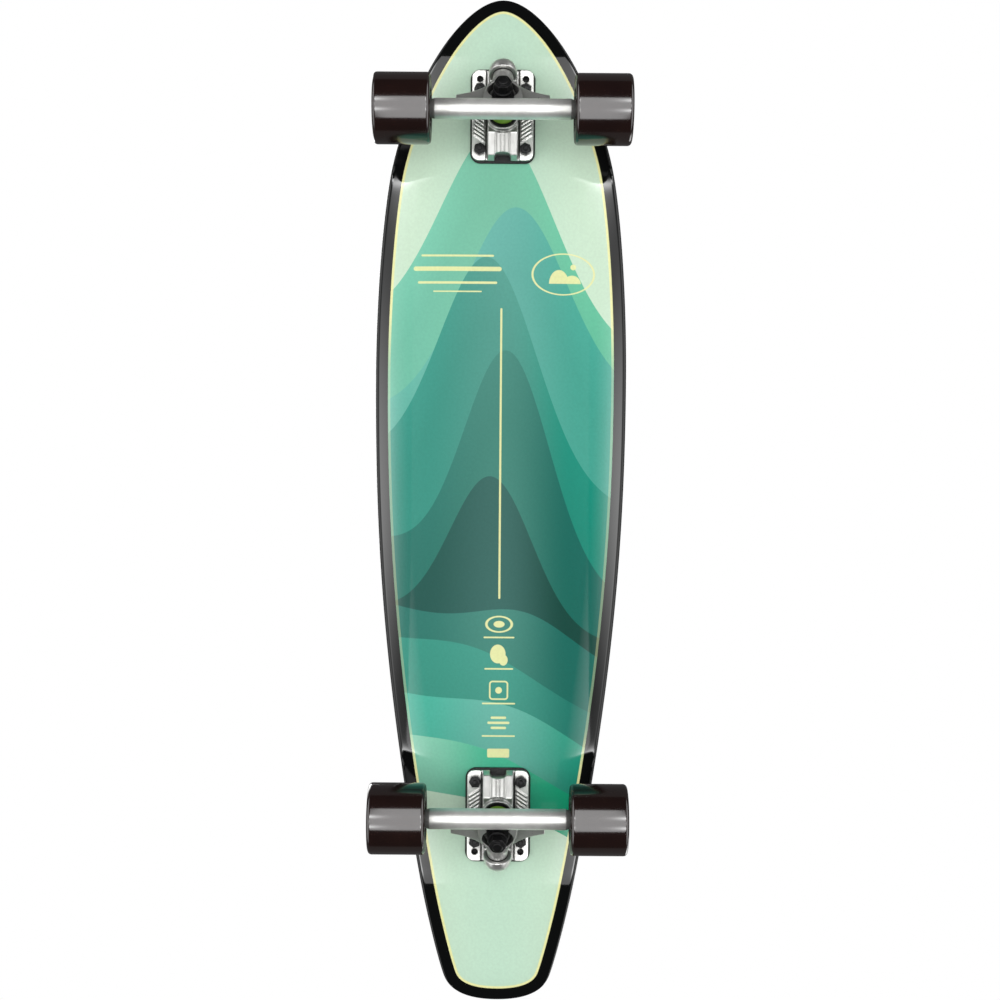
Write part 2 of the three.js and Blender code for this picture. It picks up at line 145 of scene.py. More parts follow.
def rounded(points, radius, steps=4, closed=False):
    """A polyline with its corners rounded. The radius is one number, or one for each point."""
    result = []
    for number, point in enumerate(points):
        size = radius[number] if hasattr(radius, "__len__") else radius
        if size == 0 or (not closed and number in (0, len(points) - 1)):
            result.append(Vector(point))
            continue
        corner = Vector(point)
        back = Vector(points[number - 1]) - corner
        ahead = Vector(points[(number + 1) % len(points)]) - corner
        angle = back.angle(ahead)
        if angle > math.pi - 0.02:
            result.append(corner)
            continue
        cut = min(size / math.tan(angle / 2), back.length * 0.49, ahead.length * 0.49)
        centre_distance = cut / math.cos(angle / 2)
        back.normalize()
        ahead.normalize()
        centre = corner + (back + ahead).normalized() * centre_distance
        first = corner + back * cut - centre
        last = corner + ahead * cut - centre
        sweep = math.pi - angle
        for step in range(steps + 1):
            share = step / steps
            arm = (first * math.sin((1 - share) * sweep) + last * math.sin(share * sweep)) / math.sin(sweep)
            result.append(centre + arm)
    return result


def turned(name, profile, matrix=Matrix.Identity(4), segments=64, angle=35):
    """A solid turned about local Z from (radius, height) points, on the axis at both ends or closed."""
    points = [Vector(p) for p in profile]
    on_axis = points[0].x < 1e-6 and points[-1].x < 1e-6
    vertices, rings = [], []
    for point in points:
        if point.x < 1e-6:
            rings.append([len(vertices)] * segments)
            vertices.append(matrix @ Vector((0, 0, point.y)))
            continue
        rings.append(list(range(len(vertices), len(vertices) + segments)))
        for step in range(segments):
            turn = 2 * math.pi * step / segments
            vertices.append(matrix @ Vector((point.x * math.cos(turn), point.x * math.sin(turn), point.y)))
    faces = []
    pairs = list(zip(rings, rings[1:])) if on_axis else list(zip(rings, rings[1:] + rings[:1]))
    for low, high in pairs:
        for step in range(segments):
            after = (step + 1) % segments
            corners = [low[step], low[after], high[after], high[step]]
            face = list(dict.fromkeys(corners))
            if len(face) > 2:
                faces.append(face)
    return make_object(name, vertices, faces, angle)


def rod(name, radius, low, high, matrix=Matrix.Identity(4), segments=64):
    """A plain cylinder about local Z."""
    return turned(name, [(0, low), (radius, low), (radius, high), (0, high)], matrix, segments)


def prism(name, outline, low, high, matrix=Matrix.Identity(4), angle=35):
    """A flat outline extruded between two heights along local Z."""
    count = len(outline)
    vertices = [matrix @ Vector((p[0], p[1], z)) for z in (low, high) for p in outline]
    faces = [list(range(count)), list(range(count, 2 * count))]
    for place in range(count):
        after = (place + 1) % count
        faces.append([place, after, count + after, count + place])
    return make_object(name, vertices, faces, angle)


def side_prism(name, profile, half_width):
    """A side profile of (x, z) points extruded evenly to both sides across the board."""
    upright = Matrix.Rotation(math.pi / 2, 4, "X")
    return prism(name, profile, -half_width, half_width, upright)


def baked(piece):
    """Applies every modifier of a piece to its mesh."""
    bpy.context.view_layer.update()
    evaluated = piece.evaluated_get(bpy.context.evaluated_depsgraph_get())
    mesh = bpy.data.meshes.new_from_object(evaluated)
    piece.modifiers.clear()
    piece.data = mesh
    return piece


def combined(body, others, operation):
    """Joins other solids to a body, or cuts them away, and deletes them."""
    for other in others:
        step = body.modifiers.new(operation, "BOOLEAN")
        step.operation = operation
        step.solver = "MANIFOLD"
        step.object = other
    baked(body)
    for other in others:
        bpy.data.objects.remove(other)
    return body


def cast(name, joined, cuts):
    """Joins solids, cuts others away and softens every edge as a casting has them."""
    body = combined(joined[0], joined[1:], "UNION")
    combined(body, cuts, "DIFFERENCE")
    remesh = body.modifiers.new("remesh", "REMESH")
    remesh.mode = "VOXEL"
    remesh.voxel_size = 0.5
    smooth = body.modifiers.new("smooth", "SMOOTH")
    smooth.factor = 0.5
    smooth.iterations = 5
    baked(body)
    body.name = name
    body.data.shade_smooth()
    return body


def bevelled(piece, width, angle=30):
    """Rounds a piece's sharp edges."""
    bevel = piece.modifiers.new("bevel", "BEVEL")
    bevel.width = width
    bevel.segments = 2
    bevel.limit_method = "ANGLE"
    bevel.angle_limit = math.radians(angle)
    return sharpened(baked(piece), angle)


def placed(name, template, matrix):
    """A copy of a template's mesh, moved by a matrix."""
    mesh = template.data.copy()
    mesh.name = name
    mesh.transform(matrix)
    piece = bpy.data.objects.new(name, mesh)
    bpy.context.scene.collection.objects.link(piece)
    return piece


def hex_nut(name, across_flats, bore, low, high, collar=0.0):
    """A chamfered hexagon nut about local Z, with a round collar on its lower end if asked."""
    corner = across_flats / 2 / math.cos(math.pi / 6)
    turns = [math.radians(30 + 60 * k) for k in range(6)]
    nut = prism(name, [(corner * math.cos(turn), corner * math.sin(turn)) for turn in turns], low, high)
    chamfer = corner * 0.14
    envelope = turned("envelope", [(0, low - 1), (corner - chamfer, low - 1), (corner - chamfer, low),
                                   (corner, low + chamfer * 0.6), (corner, high - chamfer * 0.6),
                                   (corner - chamfer, high), (corner - chamfer, high + 1), (0, high + 1)])
    combined(nut, [envelope], "INTERSECT")
    if collar:
        ring = rounded([(0, low + 1), (across_flats * 0.44, low + 1), (across_flats * 0.44, low - collar),
                        (0, low - collar)], 0.5)
        combined(nut, [turned("collar", ring)], "UNION")
    hole = rod("hole", bore, low - 5, high + 5, segments=32)
    return sharpened(combined(nut, [hole], "DIFFERENCE"), 25)


def threaded(radius, low, high, pitch=0.9, depth=0.28):
    """Profile points of a thread along an axis, as fine grooves."""
    points = []
    count = max(1, round((high - low) / pitch))
    for turn in range(count):
        height = low + turn * (high - low) / count
        points += [(radius, height), (radius, height + pitch * 0.35)]
        points.append((radius - depth, height + pitch * 0.7))
    return points


# ---- material helpers ----

def linear(red, green, blue):
    """A colour given as 0 to 255 screen values, as linear RGBA."""
    def channel(value):
        value /= 255
        return value / 12.92 if value <= 0.04045 else ((value + 0.055) / 1.055) ** 2.4
    return (channel(red), channel(green), channel(blue), 1.0)


class Value:
    """A node's output, which plain arithmetic works on."""

    def __init__(self, tree, socket):
        self.tree = tree
        self.socket = socket

    def __add__(self, other):
        return self.tree.math("ADD", self, other)

    def __sub__(self, other):
        return self.tree.math("SUBTRACT", self, other)

    def __rsub__(self, other):
        return self.tree.math("SUBTRACT", other, self)

    def __mul__(self, other):
        return self.tree.math("MULTIPLY", self, other)

    def __truediv__(self, other):
        return self.tree.math("DIVIDE", self, other)

    def __abs__(self):
        return self.tree.math("ABSOLUTE", self)


class NodeTree:
    """Short ways to add and link nodes."""

    def __init__(self, tree):
        self.nodes = tree.nodes
        self.links = tree.links

    def node(self, kind, **settings):
        node = self.nodes.new(kind)
        for key, value in settings.items():
            setattr(node, key, value)
        return node

    def put(self, socket, value):
        if isinstance(value, Value):
            value = value.socket
        if isinstance(value, bpy.types.NodeSocket):
            self.links.new(value, socket)
        else:
            socket.default_value = value

    def math(self, operation, *values):
        node = self.node("ShaderNodeMath", operation=operation)
        for socket, value in zip(node.inputs, values):
            self.put(socket, value)
        return Value(self, node.outputs[0])

    def larger(self, first, second):
        return self.math("MAXIMUM", first, second)

    def smaller(self, first, second):
        return self.math("MINIMUM", first, second)

    def length(self, x, y):
        return self.math("SQRT", x * x + y * y)

    def axes(self, vector):
        """The three components of a vector."""
        node = self.node("ShaderNodeSeparateXYZ")
        self.put(node.inputs[0], vector)
        return [Value(self, socket) for socket in node.outputs]

    def mix(self, share, first, second):
        node = self.node("ShaderNodeMix", data_type="RGBA")
        for name, value in (("Factor", share), ("A", first), ("B", second)):
            self.put(node.inputs[name], value)
        return Value(self, node.outputs["Result"])

    def span(self, value, low, high, to_low=0.0, to_high=1.0, smooth=False):
        node = self.node("ShaderNodeMapRange")
        node.interpolation_type = "SMOOTHSTEP" if smooth else "LINEAR"
        for name, item in zip(("Value", "From Min", "From Max", "To Min", "To Max"),
                              (value, low, high, to_low, to_high)):
            self.put(node.inputs[name], item)
        return Value(self, node.outputs["Result"])


class Shader(NodeTree):
    """Builds one material on a Principled surface."""

    def __init__(self, name, **settings):
        self.material = bpy.data.materials.new(name)
        self.material.use_nodes = True
        super().__init__(self.material.node_tree)
        self.surface = self.nodes["Principled BSDF"]
        for socket, value in settings.items():
            self.surface.inputs[socket.replace("_", " ")].default_value = value
        self.place = self.node("ShaderNodeTexCoord").outputs["Object"]

    def noise(self, scale, detail=3.0, roughness=0.5, stretch=(1, 1, 1)):
        mapping = self.node("ShaderNodeMapping")
        mapping.inputs["Scale"].default_value = stretch
        self.put(mapping.inputs["Vector"], self.place)
        node = self.node("ShaderNodeTexNoise")
        for name, value in (("Vector", mapping.outputs[0]), ("Scale", scale), ("Detail", detail),
                            ("Roughness", roughness)):
            self.put(node.inputs[name], value)
        return Value(self, node.outputs[0])

    def ramp(self, factor, stops):
        node = self.node("ShaderNodeValToRGB")
        node.color_ramp.interpolation = "EASE"
        elements = node.color_ramp.elements
        while len(elements) < len(stops):
            elements.new(0.5)
        for element, (position, colour) in zip(elements, stops):
            element.position = position
            element.color = colour
        self.put(node.inputs["Fac"], factor)
        return Value(self, node.outputs["Color"])

    def attribute(self, name):
        return Value(self, self.node("ShaderNodeAttribute", attribute_name=name).outputs["Fac"])

    def bump(self, height, strength, distance):
        node = self.node("ShaderNodeBump")
        for name, value in (("Strength", strength), ("Distance", distance), ("Height", height)):
            self.put(node.inputs[name], value)
        self.put(self.surface.inputs["Normal"], node.outputs[0])

    def colour(self, value):
        self.put(self.surface.inputs["Base Color"], value)

    def roughness(self, value):
        self.put(self.surface.inputs["Roughness"], value)


def aluminium(name, tone, rough_low, rough_high, grain, grain_depth, metallic):
    """Cast or polished aluminium with faint tumbling marks, uneven gloss and painted shade that darkens its
    corners.
    """
    shader = Shader(name, Metallic=metallic)
    # An Ambient Occlusion node paints shade into the base colour where the metal lies close to other parts.
    corners = shader.node("ShaderNodeAmbientOcclusion", samples=4)
    corners.inputs["Distance"].default_value = 0.03
    cloud = shader.noise(60, 4)
    speck = shader.noise(grain, 2)
    light = linear(tone, tone, tone - 3)
    dark = linear(tone - 22, tone - 22, tone - 26)
    shader.put(corners.inputs["Color"], shader.mix(shader.span(cloud, 0.35, 0.7), light, dark))
    shader.colour(corners.outputs["Color"])
    shader.roughness(shader.span(speck * 0.4 + cloud, 0.4, 1.0, rough_low, rough_high))
    shader.bump(speck, 0.35, grain_depth)
    return shader.material


def metal(name, red, green, blue, rough, metallic=1.0):
    """Plain finished metal with slight stains and fine scratches."""
    shader = Shader(name, Metallic=metallic)
    cloud = shader.noise(90, 3)
    base = linear(red, green, blue)
    worn = linear(red * 0.75, green * 0.74, blue * 0.72)
    shader.colour(shader.mix(shader.span(cloud, 0.45, 0.75), base, worn))
    fine = shader.noise(300, 2)
    shader.roughness(shader.span(fine, 0.3, 0.7, rough * 0.8, rough * 1.3))
    shader.bump(fine, 0.2, 0.00003)
    return shader.material


def moulded(name, red, green, blue, rough):
    """Rubber or plastic with a fine moulded grain."""
    shader = Shader(name)
    cloud = shader.noise(35, 3)
    base = linear(red, green, blue)
    dull = linear(red * 0.8 + 6, green * 0.8 + 6, blue * 0.8 + 6)
    shader.colour(shader.mix(shader.span(cloud, 0.4, 0.75), base, dull))
    fine = shader.noise(900, 2)
    shader.roughness(shader.span(fine, 0.3, 0.7, rough * 0.85, rough * 1.2))
    shader.bump(fine, 0.25, 0.00004)
    return shader.material


def urethane_bushing():
    shader = Shader("bushing_urethane", Roughness=0.38)
    shader.surface.inputs["Subsurface Weight"].default_value = 0.25
    shader.surface.inputs["Subsurface Radius"].default_value = (0.003, 0.004, 0.001)
    cloud = shader.noise(120, 3)
    shader.colour(shader.mix(shader.span(cloud, 0.35, 0.7), linear(128, 170, 58), linear(108, 150, 46)))
    fine = shader.noise(700, 2)
    shader.bump(fine, 0.15, 0.00004)
    return shader.material


def wheel_urethane():
    """Dark maroon cast urethane: a glossy tread with faint lathe lines round it."""
    shader = Shader("wheel_urethane", Coat_Roughness=0.13, Coat_IOR=1.9, Specular_IOR_Level=0.0)
    cloud = shader.noise(28, 4)
    shader.colour(shader.mix(shader.span(cloud, 0.3, 0.75), linear(24, 11, 10), linear(31, 16, 13)))
    lines = shader.noise(1.0, 2, stretch=(6, 900, 6))
    dust = shader.noise(260, 3)
    shader.roughness(shader.span(dust, 0.35, 0.75, 0.16, 0.3))
    shader.bump(lines, 0.12, 0.00005)
    # The flat sides are less glossy than the tread.
    normal = shader.axes(shader.node("ShaderNodeTexCoord").outputs["Normal"])
    shader.put(shader.surface.inputs["Coat Weight"], shader.span(abs(normal[1]), 0.6, 0.95, 1.0, 0.35))
    return shader.material


def grip_paper():
    """Black grit: sharp bright specks in matt black."""
    shader = Shader("grip_paper", Roughness=0.9)
    grit = shader.node("ShaderNodeTexVoronoi", feature="F1")
    grit.inputs["Scale"].default_value = 1900
    shader.put(grit.inputs["Vector"], shader.place)
    cloud = shader.noise(9, 4)
    black = shader.mix(shader.span(cloud, 0.35, 0.7), linear(24, 24, 25), linear(34, 34, 35))
    spark = shader.span(grit.outputs["Distance"], 0.16, 0.05)
    shader.colour(shader.mix(spark * 0.5, black, linear(96, 96, 98)))
    shader.roughness(shader.span(grit.outputs["Distance"], 0.0, 0.4, 0.45, 0.95))
    shader.bump(grit.outputs["Distance"], 0.9, 0.0004)
    return shader.material


# ---- the printed graphic under the deck ----

GRAPHIC_REACH = 115.0  # half width that an ink is blended across

# The printed hills from the nose to the tail. Each crest is a bell on a sloping foot, with an ink below it:
# (ink, foot, height of the bell, place of its middle across, its reach, slope of the foot).
HILLS = [
    ("leaf", 148, 190, -4, 72, -0.12),
    ("teal", 90, 178, 12, 66, 0.05),
    ("sea", 18, 203, -12, 62, -0.20),
    ("pine", -60, 200, 6, 54, -0.25),
    ("core", -112, 135, -8, 52, -0.15),
    ("pine", -122, 30, 24, 60, -0.30),
    ("low_sea", -165, 26, -20, 75, -0.35),
    ("low_teal", -207, 26, 14, 75, -0.35),
    ("low_leaf", -250, 22, -14, 80, -0.35),
    ("mint", -292, 18, 8, 80, -0.35),
]

# Ink across the board in each band, as (across, red, green, blue).
INKS = {
    "mint": [(-90, 205, 230, 205), (0, 195, 226, 203), (90, 205, 230, 205)],
    "leaf": [(-90, 125, 202, 175), (0, 133, 205, 175), (75, 108, 195, 160)],
    "teal": [(-90, 105, 182, 165), (0, 110, 183, 170), (75, 75, 168, 150)],
    "sea": [(-70, 65, 152, 136), (0, 90, 160, 146), (65, 28, 140, 120)],
    "pine": [(-70, 50, 120, 108), (0, 75, 138, 125), (65, 18, 102, 90)],
    "core": [(-70, 38, 88, 80), (0, 60, 105, 98), (62, 10, 68, 58)],
    "low_sea": [(-70, 60, 148, 130), (0, 73, 155, 138), (75, 22, 115, 100)],
    "low_teal": [(-70, 75, 176, 154), (0, 107, 181, 165), (75, 40, 150, 125)],
    "low_leaf": [(-70, 135, 202, 175), (0, 70, 182, 145), (70, 30, 166, 123)],
}

BORDER_WIDTH = 11.6
STRIPE_WIDTH = 2.4
CREAM = linear(238, 238, 172)


def deck_graphic():
    """Lacquered underside: overlapping green hills, a black border, a pinstripe and plain printed marks."""
    shader = Shader("deck_graphic", Coat_Roughness=0.04, Specular_IOR_Level=0.0)
    along, across, _ = [axis / MM for axis in shader.axes(shader.place)]
    across_share = shader.span(across, -GRAPHIC_REACH, GRAPHIC_REACH)

    def ink(name):
        stops = [((y + GRAPHIC_REACH) / (2 * GRAPHIC_REACH), linear(*rgb)) for y, *rgb in INKS[name]]
        return shader.ramp(across_share, stops)

    colour = ink("mint")
    for ink_name, foot, height, middle, reach, slope in HILLS:
        off_middle = (across - middle) / reach
        bell = shader.math("EXPONENT", off_middle * off_middle * -1.0)
        depth = bell * height + across * slope + foot - along
        tint = ink(ink_name)
        if ink_name not in ("mint", "core"):
            # The other inks are a little lighter along a crest and deepen away from it.
            tint = shader.mix(shader.span(depth, 0, 60, 0.0, 0.16), tint, linear(20, 96, 80))
        colour = shader.mix(shader.span(depth, -0.35, 0.35, smooth=True), colour, tint)

    def bar(x, y, half_along, half_across, corner):
        """Signed distance to a rounded rectangle."""
        over_x = abs(along - x) - (half_along - corner)
        over_y = abs(across - y) - (half_across - corner)
        outside = shader.length(shader.larger(over_x, 0.0), shader.larger(over_y, 0.0))
        return outside + shader.smaller(shader.larger(over_x, over_y), 0.0) - corner

    def oval(x, y, half_along, half_across):
        """Roughly the signed distance to an ellipse."""
        radius = shader.length((across - y) / half_across, (along - x) / half_along)
        return (radius - 1.0) * min(half_along, half_across)

    def outline(distance, width):
        return abs(distance) - width / 2

    # Centre line, a block of plain bars, an oval badge, small glyphs with bars, and a pill.
    marks = [bar(45, 0, 132, 0.9, 0.9)]
    for x, half, thick in ((224.5, 33, 0.9), (212.5, 40, 2.0), (200, 36, 1.1), (192, 22, 0.6)):
        marks.append(bar(x, -40, thick, half, thick))
    badge_x, badge_y = 208, 56
    marks.append(outline(oval(badge_x, badge_y, 18.5, 28), 1.2))
    hill_left = oval(badge_x - 9, badge_y - 4, 13, 9)
    hill_right = oval(badge_x - 9, badge_y + 8, 8, 8)
    marks.append(shader.larger(shader.smaller(hill_left, hill_right), badge_x - 8.5 - along))
    marks.append(oval(badge_x + 6.5, badge_y + 9, 2.6, 2.6))
    glyph_places = [-110, -138.5, -170, -199.5]
    rings = [outline(oval(glyph_places[0], 0, 7, 11.5), 1.4), oval(glyph_places[0], 0, 3, 5)]
    leaning = [oval(glyph_places[1] + 1.5, -1, 8.5, 7), oval(glyph_places[1] - 4, 4, 5, 4)]
    box_and_dot = [outline(bar(glyph_places[2], 0, 8, 8, 2.5), 1.4), oval(glyph_places[2], 0, 3, 3)]
    stack = [bar(glyph_places[3] + step * 4.6, 0, 1.1, 10 - 3 * abs(step), 1) for step in (-1, 0, 1)]
    marks += rings + leaning + box_and_dot + stack
    marks += [bar(x - 12, 0, 0.7, half, 0.7) for x, half in zip(glyph_places, (14, 13, 15, 15))]
    marks.append(bar(-227, 0, 4.0, 10, 1.2))
    nearest = functools.reduce(shader.smaller, marks)
    # The print's ink is thin and lets some green through.
    colour = shader.mix(shader.span(nearest, -0.25, 0.25, 0.88, 0.0, smooth=True), colour, CREAM)

    rim = shader.attribute("rim")
    # The pinstripe fades along the middle of the board.
    stripe_reach = shader.larger(shader.span(along, 110, 180, smooth=True),
                                 shader.span(along, -200, -250, smooth=True))
    in_stripe = shader.span(rim, BORDER_WIDTH + STRIPE_WIDTH, BORDER_WIDTH + STRIPE_WIDTH - 0.5, smooth=True)
    colour = shader.mix(in_stripe * (stripe_reach * 0.8 + 0.2), colour, CREAM)
    in_border = shader.span(rim, BORDER_WIDTH + 0.2, BORDER_WIDTH - 0.3, smooth=True)
    colour = shader.mix(in_border, colour, linear(11, 12, 12))

    fleck = shader.noise(420, 2)
    shader.colour(shader.mix(shader.span(fleck, 0.3, 0.7, 0.0, 0.06), colour, linear(4, 14, 12)))
    # The lacquer lies thicker towards the rails and in the wheel wells.
    lacquer = shader.span(rim, 13, 30, 1.0, 0.12)
    for axle_x in (FRONT_AXLE, REAR_AXLE):
        near_axle = shader.span(abs(along - axle_x), 42, 55, 1.0, 0.0, smooth=True)
        near_rail = shader.span(abs(across), 55, 75, smooth=True)
        lacquer = shader.larger(lacquer, near_axle * near_rail)
    shader.put(shader.surface.inputs["Coat Weight"], lacquer)
    shader.roughness(shader.span(fleck, 0.3, 0.7, 0.45, 0.6))
    grain = shader.noise(30, 4, 0.55, stretch=(0.12, 1, 1))
    shader.bump(grain, 0.06, 0.0002)
    return shader.material


BLACK_OXIDE = metal("black_oxide", 30, 30, 31, 0.42, metallic=0.6)

# Each look's material and the record's slot that it stands for.
LOOKS = {
    "graphic": (deck_graphic(), "deck_wood"),
    "grip": (grip_paper(), "grip"),
    "polished": (aluminium("polished_aluminium", 240, 0.33, 0.42, 500, 0.00002, 0.62), "cast_aluminium"),
    "tumbled": (aluminium("tumbled_aluminium", 228, 0.26, 0.42, 900, 0.00006, 0.86), "cast_aluminium"),
    "steel": (metal("zinc_steel", 190, 190, 192, 0.28), "steel"),
    "race": (metal("bearing_race", 205, 206, 208, 0.18), "bearing_steel"),
    "black": (BLACK_OXIDE, "black_steel"),
    "kingpin": (BLACK_OXIDE, "steel"),
    "shield": (moulded("bearing_shield", 28, 28, 30, 0.45), "bearing_steel"),
    "rubber": (moulded("riser_rubber", 16, 17, 17, 0.7), "riser_rubber"),
    "liner": (moulded("cup_liner", 22, 22, 22, 0.55), "black_plastic"),
    "bushing": (urethane_bushing(), "bushing"),
    "wheel": (wheel_urethane(), "wheel_urethane"),
    "hub": (moulded("wheel_hub", 26, 15, 14, 0.3), "wheel_urethane"),
}


def dress(piece, look):
    """Gives a piece one material. Its record slot is looked up but not set."""
    material, slot = LOOKS[look]
    # A boolean leaves an empty slot on a mesh, so the slots are cleared first.
    piece.data.materials.clear()
    piece.data.materials.append(material)


def add_piece(piece, look, body, *replaced):
    """Dresses a placed piece, rides it on its body and hides the CAD nodes that it stands for."""
    dress(piece, look)
    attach(piece, body)
    if replaced:
        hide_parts(*replaced)


# ---- deck and grip tape ----

OUTLINE = [
    [(-HALF_LENGTH, 0), (-HALF_LENGTH, 33.7), (-447, 45.2), (-434.5, 49.1)],
    [(-434.5, 49.1), (-403.7, 58.9), (-323, 74.8), (-246.4, 86.7)],
    [(-246.4, 86.7), (-117.4, 106.7), (-10, HALF_WIDTH), (115.5, HALF_WIDTH)],
    [(115.5, HALF_WIDTH), (200.6, HALF_WIDTH), (275, 106.9), (304.4, 100.7)],
    [(304.4, 100.7), (372.7, 86.3), (HALF_LENGTH, 38.5), (HALF_LENGTH, 0)],
]


def outline_stations(count):
    """The half outline from tail tip to nose tip: evenly spaced (x, half width) and outward normals."""
    share = np.linspace(0, 1, 400)[:, None]
    parts = []
    for curve in OUTLINE:
        a, b, c, d = (np.array(point, float) for point in curve)
        parts.append((1 - share) ** 3 * a + 3 * share * (1 - share) ** 2 * b
                     + 3 * share ** 2 * (1 - share) * c + share ** 3 * d)
    dense = np.vstack([part[:-1] for part in parts] + [parts[-1][-1:]])
    steps = np.hypot(*np.diff(dense, axis=0).T)
    travelled = np.concatenate([[0], np.cumsum(steps)])
    wanted = np.linspace(0, travelled[-1], count)
    points = np.column_stack([np.interp(wanted, travelled, dense[:, k]) for k in (0, 1)])
    tangent = np.gradient(points, axis=0)
    tangent[0] = (0, 1)
    tangent[-1] = (0, -1)
    tangent /= np.hypot(*tangent.T)[:, None]
    normals = np.column_stack([-tangent[:, 1], tangent[:, 0]])
    return points, normals, dense


STATIONS, NORMALS, DENSE_OUTLINE = outline_stations(330)


def inset(distance):
    """The outline's stations moved inwards."""
    moved = STATIONS - NORMALS * distance
    moved[0, 1] = moved[-1, 1] = 0
    return moved[:, 0], np.maximum(moved[:, 1], 0)


def kick_rise(distance, bend, slope):
    distance = np.maximum(distance, 0)
    return np.where(distance < bend, slope * distance ** 2 / (2 * bend), slope * (distance - bend / 2))


def smoothstep(value, low, high):
    share = np.clip((value - low) / (high - low), 0, 1)
    return share * share * (3 - 2 * share)


def underside(x, y):
    """Height of the deck's underside: flat middle, raised rails, kick tail and slight nose lift."""
    width = np.interp(x, *DENSE_OUTLINE.T)
    reach = np.maximum(np.abs(y) - FLAT_HALF, 0) / (HALF_WIDTH - FLAT_HALF)
    fade = 0.4 + 0.6 * smoothstep(width, 20, HALF_WIDTH)
    kick = kick_rise(TAIL["start"] - x, TAIL["bend"], TAIL["slope"])
    kick = kick + kick_rise(x - NOSE["start"], NOSE["bend"], NOSE["slope"])
    return DECK_BOTTOM + CONCAVE * reach ** 2 * fade + kick


WELL_DEPTH = 3.4


def wheel_wells(x, y):
    """Depth of the scoops sanded into the underside over the wheels."""
    depth = 0
    for axle_x, inward in ((FRONT_AXLE, -6), (REAR_AXLE, 6)):
        along = (x - axle_x - inward) / 34
        beside = (np.abs(y) - 96) / 20
        depth = depth + WELL_DEPTH * np.exp(-(along ** 4) - beside ** 2)
    return depth


def surface_grid(x, width, height, columns, first):
    """A grid across the board at each station. Returns vertices, faces and its boundary, tail tip first."""
    vertices = [(x[0], 0.0)]
    for place in range(1, len(x) - 1):
        vertices += [(x[place], y) for y in columns(width[place])]
    vertices.append((x[-1], 0.0))
    flat = np.array(vertices)
    solid = np.column_stack([flat, height(flat[:, 0], flat[:, 1])])
    count = len(columns(100.0))
    rows = [[first + 1 + row * count + column for column in range(count)] for row in range(len(x) - 2)]
    tail_tip, nose_tip = first, first + len(vertices) - 1
    faces = []
    for column in range(count - 1):
        faces.append([tail_tip, rows[0][column + 1], rows[0][column]])
        faces.append([nose_tip, rows[-1][column], rows[-1][column + 1]])
        faces += [[near[column], near[column + 1], far[column + 1], far[column]]
                  for near, far in zip(rows, rows[1:])]
    loop = [tail_tip] + [row[0] for row in rows] + [nose_tip] + [row[-1] for row in reversed(rows)]
    return solid, faces, loop


def deck_columns(width):
    """Places across the board, close together along the rails."""
    band = min(16.0, width / 2)
    from_rail = [band * k / 10 for k in range(10)] + [band + (width - band) * k / 18 for k in range(19)]
    left = [width - distance for distance in from_rail]
    return [-y for y in left[:-1]] + left[::-1]


def ring_loop(distance, height, first):
    """A loop of vertices round the outline at an inset, in the order of surface_grid's boundary."""
    x, width = inset(distance)
    right = np.column_stack([x, -width])
    left = np.column_stack([x, width])[1:-1][::-1]
    flat = np.vstack([right, left])
    solid = np.column_stack([flat, underside(flat[:, 0], flat[:, 1]) + height])
    return solid, list(range(first, first + len(flat)))


def band(near, far):
    """Faces between two loops of as many vertices."""
    count = len(near)
    return [[near[k], near[(k + 1) % count], far[(k + 1) % count], far[k]] for k in range(count)]


def rim_distances(points):
    """Distance of each point from the deck's outline, seen from below."""
    dots = DENSE_OUTLINE[::3]
    search = KDTree(len(dots))
    for number, (x, y) in enumerate(dots):
        search.insert((x, y, 0), number)
    search.balance()
    return [search.find((x, abs(y), 0))[2] for x, y, _ in points]


def plate_object(name, low, high, rim, dents=None):
    """A plate that follows the deck between two heights, with rim points of (inset, height) between them."""
    first_inset, last_inset = rim[0][0], rim[-1][0]

    def bottom(x, y):
        return underside(x, y) + low + (dents(x, y) if dents else 0)

    def top(x, y):
        return underside(x, y) + high

    vertices, faces, loop = surface_grid(*inset(first_inset), bottom, deck_columns, 0)
    faces = [face[::-1] for face in faces]
    total = [vertices]
    for distance, height in rim[1:-1]:
        solid, after = ring_loop(distance, height, sum(map(len, total)))
        total.append(solid)
        faces += band(loop, after)
        loop = after
    used = sum(map(len, total))
    upper, upper_faces, upper_loop = surface_grid(*inset(last_inset), top, deck_columns, used)
    total.append(upper)
    faces += band(loop, upper_loop) + upper_faces
    points = np.vstack(total)

    piece = make_object(name, points * MM, faces, 50)
    rim_layer = piece.data.attributes.new("rim", "FLOAT", "POINT")
    rim_layer.data.foreach_set("value", rim_distances(points))
    return piece


def build_deck():
    thick = DECK_THICKNESS
    ease = [(2.6, 0), (1.5, 0.25), (0.7, 0.8), (0.2, 1.6), (0, 2.8)]
    rim = ease + [(distance, thick - height) for distance, height in reversed(ease)]
    deck = plate_object("deck_lacquered", 0, thick, rim, wheel_wells)
    add_piece(deck, "graphic", "board", "deck")
    low, high = thick + 0.02, thick + GRIP_LIFT
    grip = plate_object("grip_sheet", low, high, [(3.0, low), (2.9, high - 0.25), (3.2, high)])
    add_piece(grip, "grip", "board", "grip_tape")


build_deck()


# ---- mounting bolts ----

